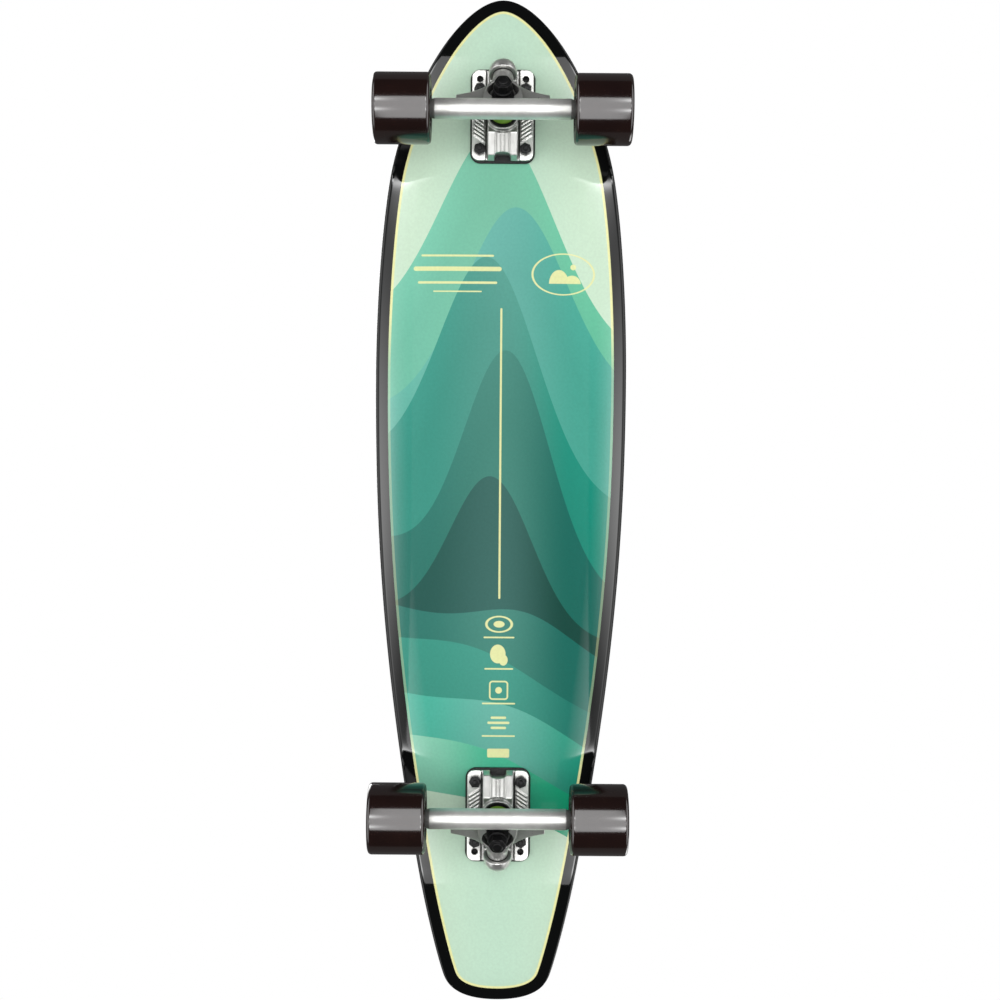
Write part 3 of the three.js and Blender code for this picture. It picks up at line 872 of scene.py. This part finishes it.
def build_bolts():
    end = FLANGE_BOTTOM - 0.3 - 5 - 2
    head_under = GRIP_TOP - 2.8
    profile = ([(0, end), (1.6, end)] + threaded(2.4, end + 0.6, end + 9)
               + [(2.4, end + 9.2), (2.4, head_under), (4.55, GRIP_TOP - 0.35), (4.6, GRIP_TOP + 0.05),
                  (4.35, GRIP_TOP + 0.2), (0, GRIP_TOP + 0.2)])
    bolt = turned("bolt_template", profile, segments=40, angle=28)
    cuts = []
    for turn in (0, math.pi / 2):
        blade = [(-2.6, GRIP_TOP + 1), (2.6, GRIP_TOP + 1), (1.2, GRIP_TOP - 2), (-1.2, GRIP_TOP - 2)]
        cut = side_prism("recess", blade, 0.45)
        cut.data.transform(Matrix.Rotation(turn, 4, "Z"))
        cuts.append(cut)
    combined(bolt, cuts, "DIFFERENCE")
    top = FLANGE_BOTTOM - 0.1
    nut = hex_nut("nut_template", 9.5, 2.45, top - 4.4, top, collar=1.1)
    for truck in TRUCKS:
        for row in ("inner", "outer"):
            for side in ("left", "right"):
                place = f"{truck}_{row}_{side}"
                low, high = box_mm(f"bolt_{place}")
                spot = (low + high) / 2
                spin = Matrix.Rotation(math.radians(17 * (spot.x + spot.y)), 4, "Z")
                matrix = TO_METRES @ Matrix.Translation((spot.x, spot.y, 0)) @ spin
                add_piece(placed(f"screw_{place}", bolt, matrix), "black", "board", f"bolt_{place}")
                add_piece(placed(f"locknut_{place}", nut, matrix), "black", "board", f"bolt_nut_{place}")
    bpy.data.objects.remove(bolt)
    bpy.data.objects.remove(nut)


build_bolts()


# ---- trucks ----

BOLT_ROWS = (-22.7, 31.3, 40.8)
BOLT_SIDE = 20.64
FLANGE = {"inboard": -32.8, "outboard": 49.4, "half": 28.0, "corner": 8.0}


def plate_outline(grow=0.0, corner=8.0):
    low, high = FLANGE["inboard"] - grow, FLANGE["outboard"] + grow
    half = FLANGE["half"] + grow
    return rounded([(low, -half), (high, -half), (high, half), (low, half)], corner + grow, 8, closed=True)


def build_baseplate():
    """Cast baseplate: two raised side rails, the kingpin boss and the domed pivot housing."""
    top, bottom = PLATE_TOP, FLANGE_BOTTOM
    web = prism("web", plate_outline(-0.4), bottom + 1.9, top)
    rails = []
    for side in (-1, 1):
        low, high = FLANGE["inboard"] + 0.2, FLANGE["outboard"] - 0.2
        inner, outer = side * 15.2, side * (FLANGE["half"] - 0.2)
        corners = [(low, inner), (high, inner), (high, outer), (low, outer)]
        outline = rounded(corners, [1.5, 1.5, 8, 8], 6, closed=True)
        rails.append(prism("rail", outline, bottom, top))
    bury = bottom + 2.5
    ridge = side_prism("ridge", [(-32, bury), (-29.5, 79.8), (-10.5, 70.6), (12, 80), (18, bury)], 13.4)
    # A half-round spine down the middle of the ridge.
    slope = Vector((19, 0, -9.2))
    spine_frame = Matrix.Translation((-29.5, 0, 79.8 + 4.4)) @ Vector((0, 0, 1)).rotation_difference(
        slope).to_matrix().to_4x4()
    spine = rod("spine", 7.6, 0, slope.length + 2, spine_frame)
    boss = turned("boss", rounded([(0, 20.2), (13.4, 20.2), (13.4, 33), (0, 33)], 0.8), KINGPIN)
    dome = [(12.6 * math.cos(a), 33 + 12.6 * math.sin(a)) for a in np.linspace(0, math.pi / 2, 14)[:-1]]
    housing = turned("housing", [(0, 30), (12.2, 30), (12.6, 30.5)] + dome + [(0, 45.6)], PIVOT)
    pedestal = side_prism("pedestal", [(35, 74), (48, 75.5), (52, bury), (32, bury)], 12)
    cuts = [
        rod("pin_hole", 5.2, 12, 30, KINGPIN, 32),
        rod("cup_hole", 8.5, 20, 38.4, PIVOT, 40),
        rod("nose_room", 10.4, 0, 30, PIVOT, 40),
        prism("above", [(-60, -60), (80, -60), (80, 60), (-60, 60)], top, top + 40),
        prism("notch", [(-40, -7.2), (-29.6, -7.2), (-27.6, -5.6), (-27.6, 5.6), (-29.6, 7.2), (-40, 7.2)],
              60, top + 1),
        rod("seat_room", 14.5, 0, 20.2, KINGPIN, 48),
    ]
    for x in BOLT_ROWS:
        for y in (-BOLT_SIDE, BOLT_SIDE):
            cuts.append(turned("bolt_hole", [(0, 60), (2.75, 60), (2.75, 99), (0, 99)],
                               Matrix.Translation((x, y, 0)), 24))
    # Slanted anti-slip ribs on the rails.
    ribs = []
    for side in (-1, 1):
        for step in range(6):
            x = -15.5 + 3.6 * step
            rib = [(x, side * 17), (x + 1.5, side * 17), (x + 7.5, side * 26), (x + 6, side * 26)]
            ribs.append(prism("rib", rib, bottom - 0.55, bottom + 1))
    return cast("baseplate", [web, *rails, ridge, spine, boss, housing, pedestal, *ribs], cuts)


WING_SLOPE = math.radians(45)
WING_EDGE = [(21, -41), (28, -16), (46.5, -8.5)]
WING = Matrix.Translation((0, 0, AXLE_HEIGHT)) @ Matrix.Rotation(-WING_SLOPE, 4, "Y")


def build_hanger_body():
    """The cast middle of the hanger: kingpin ring, two ribs, side wings and the pivot nose."""
    ring = turned("ring", rounded([(0, -5), (15.5, -5), (15.5, 5), (0, 5)], 1.0), KINGPIN)
    nose = turned("nose", [(0, 4), (12.5, 4), (10.6, 16), (9.4, 24), (9.0, 29.4), (8.4, 29.8), (5.8, 29.8),
                           (5.8, 34), (4.2, 36), (0, 36.4)], PIVOT)
    tip, bend, neck = (Vector(point) for point in WING_EDGE)
    sweep = [tip * (1 - t) ** 2 + bend * 2 * t * (1 - t) + neck * t * t for t in np.linspace(0, 1, 12)]
    outline = [(-3, -41)] + [tuple(p) for p in sweep] + [(p.x, -p.y) for p in reversed(sweep)] + [(-3, 41)]
    wings = prism("wings", outline, -1.4, 3.2, WING)
    ribs = []
    for side in (-1, 1):
        rib = [(2, side * 11), (2, side * 17.6), (14, side * 17), (26, side * 14.6), (38, side * 9.6),
               (43, side * 8.4), (43, side * 3), (30, side * 6)]
        ribs.append(prism("rib", rib, -6, 3, WING))
    skirt = rod("skirt", 15.6, -12, -4, KINGPIN)
    bridge = turned("bridge", [(0, 19), (10.4, 19), (9.4, 24), (0, 24)], PIVOT)
    cuts = [
        rod("pin_room", 7, -40, 40, KINGPIN, 32),
        # This hollow widens so that the road cup and the nut stay clear when the hanger steers.
        turned("road_room", [(0, -60), (13.7, -60), (13.7, -14), (12.3, -5), (0, -5)], KINGPIN, 48),
        rod("deck_room", 14, 5, 60, KINGPIN, 48),
        rod("axle_room", 7.5, -90, 90, ACROSS, 32),
    ]
    return cast("hanger_body_template", [ring, nose, wings, bridge, skirt, *ribs], cuts)


def build_hanger_bar():
    """The turned and polished bar that holds the axle."""
    half = [(9.05, 59), (7.5, 63.2), (7.5, HANGER_HALF - 0.5), (7.2, HANGER_HALF), (4.1, HANGER_HALF)]
    profile = [(radius, -height) for radius, height in reversed(half)] + half
    return turned("hanger_bar_template", rounded(profile, 0.6, 3), ACROSS, 96, 25)


# Heights along the kingpin from the seat.
BOARD_BUSHING = (5.1, 17.9)
ROAD_BUSHING = (-14.7, -5.1)
BOARD_WASHER = (17.9, 20.0)
ROAD_WASHER = (-16.6, -14.7)
KINGPIN_NUT = (-24.7, -16.7)


def bushing(low, high, low_radius, high_radius):
    bore = 4.9
    middle = (low + high) / 2
    waist = (low_radius + high_radius) / 2 + 0.45
    profile = [(bore, low), (low_radius, low), (waist, middle), (high_radius, high), (bore, high)]
    return turned("bushing", rounded(profile, [0.2, 1.2, 8, 1.2, 0.2], 5, closed=True), KINGPIN, 72)


def cup_washer(low, high, radius, towards):
    """A pressed cup washer whose lip folds over its bushing."""
    bore = 4.9
    flat, lip = (low, high) if towards > 0 else (high, low)
    thin = 0.9 * towards
    profile = [(bore, flat), (radius - 0.6, flat), (radius, flat + thin), (radius, lip + towards * 1.3),
               (radius - 0.9, lip + towards * 1.3), (radius - 1.0, flat + thin), (bore, flat + thin)]
    return turned("cup_washer", rounded(profile, 0.25, 3, closed=True), KINGPIN, 72)


def build_truck_templates():
    """Pieces of one truck: (template, name, look, body it rides on, CAD nodes that it replaces)."""
    nut = hex_nut("kingpin_nut_template", 13.5, 4.9, *KINGPIN_NUT, collar=0.8)
    nut.data.transform(KINGPIN)
    tip = KINGPIN_NUT[0] - 2
    pin = turned("kingpin_template", [(0, tip), (3.9, tip), (4.6, tip + 0.8)] + threaded(4.7, tip + 1, -6)
                 + [(4.7, -5.6), (4.7, 34), (0, 34)], KINGPIN, 48, 28)
    cup = turned("cup_template", rounded([(6.1, 29.6), (8.9, 29.6), (8.9, 30.1), (8.3, 30.3), (8.3, 38.2),
                                          (6.1, 38.2)], 0.2, 2, closed=True), PIVOT)
    riser = bevelled(prism("riser_template", plate_outline(1.4), PLATE_TOP + 0.05, DECK_BOTTOM - 0.02), 0.5)
    end = AXLE_HALF
    half = [(4.0, 0), (4.0, end - 13)] + threaded(4.0, end - 12.6, end - 1) + [(3.3, end), (0, end)]
    axle_profile = [(radius, -height) for radius, height in reversed(half)] + half[1:]
    axle = turned("axle_template", axle_profile, ACROSS, 40, 28)
    board_cup = cup_washer(BOARD_WASHER[1], BOARD_WASHER[0], 12.9, -1)
    return [
        (build_baseplate(), "baseplate", "tumbled", "board", ["baseplate"]),
        (riser, "riser", "rubber", "board", ["riser_pad"]),
        (cup, "pivot_liner", "liner", "board", ["pivot_cup"]),
        (pin, "kingpin_bolt", "kingpin", "board", ["kingpin"]),
        (nut, "kingpin_locknut", "black", "board", ["kingpin_nut"]),
        (board_cup, "board_cup", "black", "board", ["board_washer"]),
        (cup_washer(*ROAD_WASHER, 8.9, 1), "road_cup", "black", "board", ["road_washer"]),
        (bushing(*BOARD_BUSHING, 12.0, 10.9), "board_cushion", "bushing", None, ["board_bushing"]),
        (bushing(*ROAD_BUSHING, 7.8, 10.0), "road_cushion", "rubber", None, ["road_bushing"]),
        (build_hanger_body(), "hanger_cast", "tumbled", "hanger", ["hanger"]),
        (build_hanger_bar(), "hanger_bar", "polished", "hanger", []),
        (axle, "axle_rod", "steel", "hanger", ["axle"]),
    ]


def build_trucks():
    for template, name, look, rides, nodes in build_truck_templates():
        for truck in TRUCKS:
            piece = placed(f"{truck}_{name}", template, truck_matrix(truck))
            hanger = f"{truck}_hanger_body"
            replaced = [f"{truck}_{node}" for node in nodes]
            if rides is not None:
                add_piece(piece, look, hanger if rides == "hanger" else "board", *replaced)
                continue
            # A bushing is held by its washer on the board and squeezed by the hanger's ring. Here it rides
            # on no body, and the fixed and moving heights worked out for it are not used.
            dress(piece, look)
            fixed, moving = (BOARD_BUSHING[1], BOARD_BUSHING[0]) if "board" in name else ROAD_BUSHING
            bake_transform(piece)
            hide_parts(*replaced)
        bpy.data.objects.remove(template)


build_trucks()


# ---- wheels ----

BEARING_WIDTH = 6.9
INNER_BEARING = 13.2  # from the wheel's inner face
OUTER_BEARING = 30.5


def ring(low, high, inner=4.1, outer=5.9):
    """A plain ring about local Z with eased edges."""
    profile = [(inner, low), (outer, low), (outer, high), (inner, high)]
    return turned("ring", rounded(profile, 0.35, 3, closed=True), segments=72)


def build_axle_nut(low):
    """A lock nut with a flange below and a round collar above."""
    nut = hex_nut("axle_nut", 12.7, 4.1, low + 1.2, low + 7.4)
    rims = []
    for radius, bottom, top, ease in ((5.7, low + 6, low + 7.5, 0.4), (6.6, low, low + 1.3, 0.3)):
        profile = [(0, bottom), (radius, bottom), (radius, top), (0, top)]
        rims.append(turned("rim", rounded(profile, ease), segments=48))
    combined(nut, rims, "UNION")
    return sharpened(combined(nut, [rod("bore", 4.1, low - 4, low + 14)], "DIFFERENCE"), 25)


def build_wheel_templates():
    """Pieces of one wheel about local Z, measured from its inner face outwards:
    (template, name, look, body it rides on, CAD nodes that it replaces)."""
    radius, wide = WHEEL_RADIUS, WHEEL_WIDTH
    inner_end, outer_end = INNER_BEARING + BEARING_WIDTH, OUTER_BEARING + BEARING_WIDTH
    nut_low = outer_end + 1.0
    tyre = [(14.6, 12.4), (18.6, 2.2), (20.2, 0.0), (radius, 0.0), (radius, wide), (20.2, wide),
            (18.6, wide - 2.2), (14.6, outer_end + 0.8)]
    tyre = rounded(tyre, [0.4, 1.5, 1.2, 3.4, 3.4, 1.2, 1.5, 0.4], 8, closed=True)
    hub = [(11.05, 12.7), (14.8, 12.3), (14.8, outer_end + 0.9), (11.05, outer_end + 0.5)]
    hub = rounded(hub, 0.5, 3, closed=True)
    templates = [
        (turned("tyre", tyre, segments=144), "tyre", "wheel", "wheel", ["wheel"]),
        (turned("hub", hub, segments=96), "hub", "hub", "wheel", []),
    ]
    for place, low, high in (("inner", INNER_BEARING, inner_end), ("outer", OUTER_BEARING, outer_end)):
        templates += [
            (ring(low, high, 9.3, 11.0), f"{place}_outer_race", "race", "wheel", [f"{place}_bearing"]),
            (ring(low + 0.45, high - 0.45, 6.1, 9.5), f"{place}_shield", "shield", "wheel", []),
            (ring(low, high), f"{place}_inner_race", "race", "hanger", []),
        ]
    hanger_end = HANGER_HALF - WHEEL_INNER
    return templates + [
        (ring(inner_end, OUTER_BEARING, outer=6.0), "bearing_spacer", "steel", "hanger", ["spacer"]),
        (ring(hanger_end + 0.05, INNER_BEARING - 0.05), "inner_speed_ring", "steel", "hanger", []),
        (ring(outer_end + 0.05, nut_low - 0.05), "outer_speed_ring", "steel", "hanger", []),
        (build_axle_nut(nut_low), "axle_locknut", "black", "hanger", ["axle_nut"]),
    ]


def build_wheels():
    for template, name, look, rides, nodes in build_wheel_templates():
        for truck, (axle_x, _) in TRUCKS.items():
            for side, way in (("left", 1), ("right", -1)):
                outward = Matrix.Rotation(-way * math.pi / 2, 4, "X")
                spot = Matrix.Translation((axle_x, way * WHEEL_INNER, AXLE_HEIGHT))
                piece = placed(f"{truck}_{side}_{name}", template, TO_METRES @ spot @ outward)
                body = f"{truck}_{side}_wheel_body" if rides == "wheel" else f"{truck}_hanger_body"
                add_piece(piece, look, body, *[f"{truck}_{side}_{node}" for node in nodes])
        bpy.data.objects.remove(template)


build_wheels()


# ---- stage, lights and camera ----

UNDER_KEY_HEIGHT = -1.36
SKY_LIGHT = 0.12


def build_floor():
    """A pale floor that is seen from above only, so that the underside can be looked at through it."""
    size = 6.0
    shader = Shader("studio_floor", Roughness=1.0, Specular_IOR_Level=0.0)
    cloud = shader.noise(3, 3)
    pale = shader.mix(cloud, linear(238, 238, 236), linear(230, 230, 229))
    painted_contact_shadow = shader.node("ShaderNodeAmbientOcclusion", samples=3)
    painted_contact_shadow.inputs["Distance"].default_value = 0.3
    shader.put(painted_contact_shadow.inputs["Color"], pale)
    # The pale colour shines by itself, and painted shadow from an Ambient Occlusion node darkens it only
    # where the board stands over it.
    shader.colour(linear(12, 12, 12))
    shader.put(shader.surface.inputs["Emission Color"], painted_contact_shadow.outputs["Color"])
    shader.surface.inputs["Emission Strength"].default_value = 1.0
    see_through = shader.node("ShaderNodeBsdfTransparent")
    back = shader.node("ShaderNodeNewGeometry").outputs["Backfacing"]
    choice = shader.node("ShaderNodeMixShader")
    for socket, value in zip(choice.inputs, (back, shader.surface.outputs[0], see_through.outputs[0])):
        shader.put(socket, value)
    shader.put(shader.nodes["Material Output"].inputs["Surface"], choice.outputs[0])
    corners = [(-size, -size, 0), (size, -size, 0), (size, size, 0), (-size, size, 0)]
    floor = make_object("studio_floor", corners, [[0, 1, 2, 3]])
    floor.data.materials.append(shader.material)
    floor.visible_shadow = False
    floor.visible_diffuse = False
    floor.visible_glossy = False


def area_light(name, place, target, width, height, strength):
    """A soft box. Strength is its brightness, in watts for each square metre."""
    data = bpy.data.lights.new(name, "AREA")
    data.shape = "RECTANGLE"
    data.size = width
    data.size_y = height
    data.energy = strength * width * height
    light = bpy.data.objects.new(name, data)
    light.location = place
    light.rotation_euler = (Vector(target) - Vector(place)).to_track_quat("-Z", "Y").to_euler()
    bpy.context.scene.collection.objects.link(light)
    return light


CAMERA_DISTANCE = 1.44  # from the deck's underside
CAMERA_LENS = 57.1
CAMERA_ROLL = math.radians(0.42)
CAMERA_X = 0.0028


def build_lights():
    """A long softbox behind the camera, for the bars and the wheels, and two lights over the deck."""
    softbox = area_light("under_key", (0.0, 0.0, UNDER_KEY_HEIGHT), (0, 0, 0), 1.94, 0.8, 7.9)
    softbox.rotation_euler = (math.pi, 0, 0)
    area_light("top_key", (0.6, -1.2, 2.0), (0, 0, 0.1), 1.6, 1.2, 17)
    area_light("top_fill", (-1.4, 1.3, 1.4), (0, 0, 0.1), 1.2, 1.2, 9)


def build_world():
    """A white backdrop. The board itself is lit dimly from above the horizon. Below the horizon the studio
    is dark, with bright side walls and soft patches that the rails and the wheel wells mirror."""
    world = bpy.data.worlds.new("studio")
    world.use_nodes = True
    tree = NodeTree(world.node_tree)
    along, across, up = tree.axes(tree.node("ShaderNodeTexCoord").outputs["Generated"])
    walls = tree.span(abs(across), 0.5, 0.62, 0.03, 1.6, smooth=True)

    def patch(middle_along, reach_along, middle_across, reach_across, peak):
        """A soft bright spot, mirrored to all four quarters."""
        off_along = (abs(along) - middle_along) / reach_along
        off_across = (abs(across) - middle_across) / reach_across
        squares = off_along * off_along + off_across * off_across
        return tree.math("EXPONENT", squares * -0.5) * peak

    paths = tree.node("ShaderNodeLightPath").outputs
    # The second spot is only mirrored. It gives the board no light.
    mirrored = patch(0.27, 0.05, 0.24, 0.05, 14.0) * paths["Is Glossy Ray"]
    below = walls + patch(0.0, 0.09, 0.36, 0.07, 5.5) + mirrored
    sky = tree.span(up, -0.03, 0.03, smooth=True)
    around = sky * (SKY_LIGHT - below) + below
    background = tree.nodes["Background"]
    tree.put(background.inputs["Strength"], tree.larger(paths["Is Camera Ray"], around))
    background.inputs["Color"].default_value = (1, 1, 1, 1)
    bpy.context.scene.world = world


def build_camera():
    """Straight below the board, looking up, with the nose at the top of the frame."""
    data = bpy.data.cameras.new("camera")
    data.lens = CAMERA_LENS
    camera = bpy.data.objects.new("camera", data)
    right = Vector((math.sin(CAMERA_ROLL), math.cos(CAMERA_ROLL), 0))
    up = Vector((math.cos(CAMERA_ROLL), -math.sin(CAMERA_ROLL), 0))
    back = Vector((0, 0, -1))
    turn = Matrix((right, up, back)).transposed().to_4x4()
    place = Vector((CAMERA_X, 0, DECK_BOTTOM * MM - CAMERA_DISTANCE))
    camera.matrix_world = Matrix.Translation(place) @ turn
    bpy.context.scene.collection.objects.link(camera)
    bpy.context.scene.camera = camera


build_floor()
build_lights()
build_world()
build_camera()
bpy.context.scene.view_settings.view_transform = "Standard"
